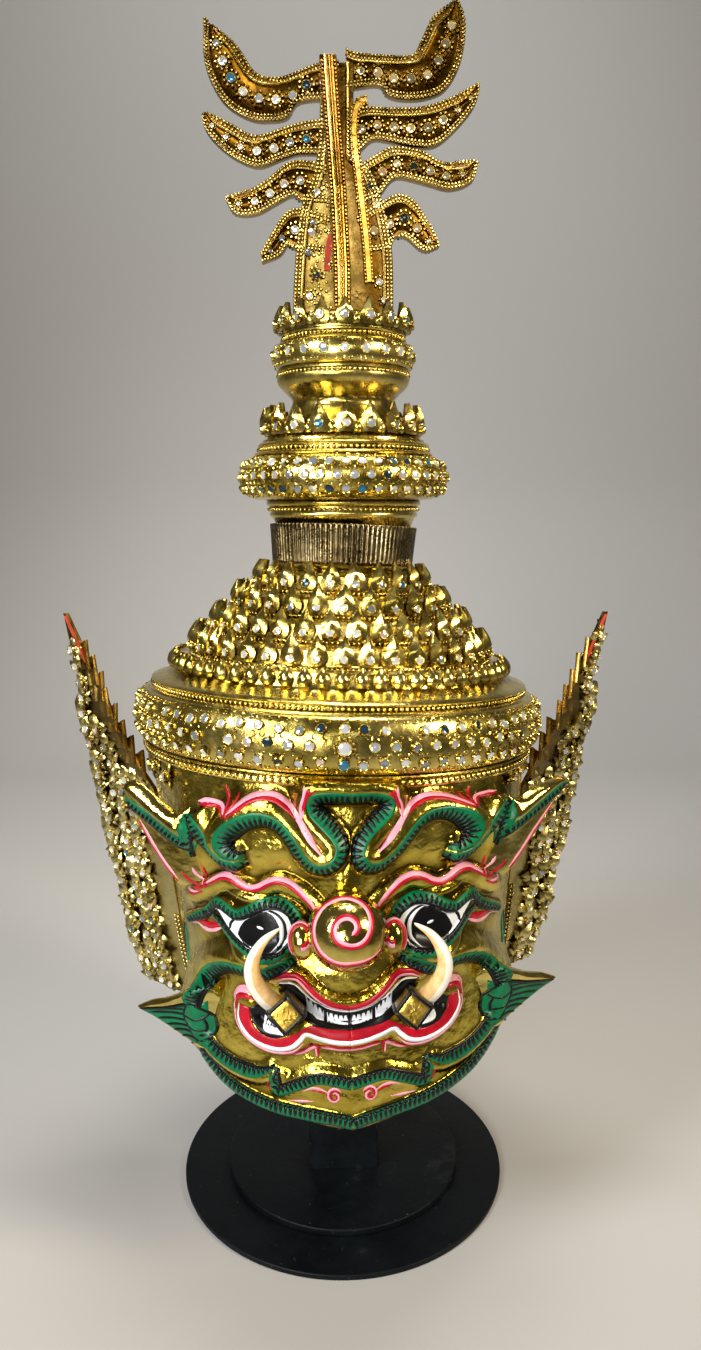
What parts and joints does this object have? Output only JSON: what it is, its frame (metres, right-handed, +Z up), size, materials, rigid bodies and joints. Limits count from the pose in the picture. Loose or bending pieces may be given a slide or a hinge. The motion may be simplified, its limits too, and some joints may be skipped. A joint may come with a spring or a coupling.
{
  "type": "khon mask",
  "caption": "Gilded khon giant mask with carved face, curled tusks, tiered crown, feathered finial and ear ornaments, hung on a round black display stand.",
  "frame": {"origin": "centre of the underside of the stand's foot, on the surface it stands on", "axes": "+Z up, the mask faces -Y, +X is on the right of someone who looks at the face"},
  "size_m": [0.3362, 0.2865, 0.705],
  "materials": {
    "black_paint": "matt black paint, dusty",
    "gilded_paper": "gold leaf on lacquer over moulded paper, with green, red, pink, white and black painted lines",
    "gilded_wood": "gold leaf over turned wood",
    "gilded_leather": "gold leaf over cut leather",
    "ivory_lacquer": "cream lacquer, semi gloss",
    "mirror_glass": "small round mirrors in gold rims",
    "enamel_paint": "gloss paint lines over moulded paste"
  },
  "bodies": {
    "root": {"stand_foot": "black_paint", "stand_step": "black_paint", "stand_post": "black_paint", "mask_head": "gilded_paper", "crown_spire": "gilded_wood", "crown_finial": "gilded_leather", "ear_ornament_left": "gilded_leather", "ear_ornament_right": "gilded_leather", "tusk_left": "ivory_lacquer", "tusk_right": "ivory_lacquer"}
  },
  "joints": []
}
